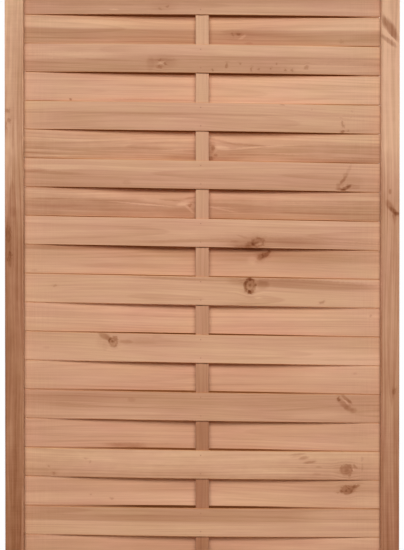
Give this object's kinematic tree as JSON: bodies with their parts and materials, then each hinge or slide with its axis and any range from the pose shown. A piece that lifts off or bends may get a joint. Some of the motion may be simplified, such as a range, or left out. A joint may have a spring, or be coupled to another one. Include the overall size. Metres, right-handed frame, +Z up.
{
  "type": "woven fence panel",
  "caption": "Upright timber fence panel: thin horizontal slats woven alternately in front of and behind a centre batten, held in a grooved frame.",
  "frame": {"origin": "the middle of the left stile's outer face, seen from the front, halfway up the panel and halfway through its depth", "axes": "+X across the panel from the left stile to the right one, +Y from the front to the back, +Z up"},
  "size_m": [0.9, 0.043, 1.8],
  "materials": {
    "frame_timber": "planed, brown pressure-treated softwood",
    "batten_timber": "planed, brown pressure-treated softwood",
    "slat_timber": "fine-sawn, brown pressure-treated softwood"
  },
  "bodies": {
    "root": {"left_stile": "frame_timber", "right_stile": "frame_timber", "top_rail": "frame_timber", "bottom_rail": "frame_timber", "centre_batten": "batten_timber", "slat_01": "slat_timber", "slat_02": "slat_timber", "slat_03": "slat_timber", "slat_04": "slat_timber", "slat_05": "slat_timber", "slat_06": "slat_timber", "slat_07": "slat_timber", "slat_08": "slat_timber", "slat_09": "slat_timber", "slat_10": "slat_timber", "slat_11": "slat_timber", "slat_12": "slat_timber", "slat_13": "slat_timber", "slat_14": "slat_timber", "slat_15": "slat_timber", "slat_16": "slat_timber", "slat_17": "slat_timber", "slat_18": "slat_timber", "slat_19": "slat_timber", "slat_20": "slat_timber", "slat_21": "slat_timber", "slat_22": "slat_timber", "slat_23": "slat_timber", "slat_24": "slat_timber", "slat_25": "slat_timber", "slat_26": "slat_timber"}
  },
  "joints": []
}
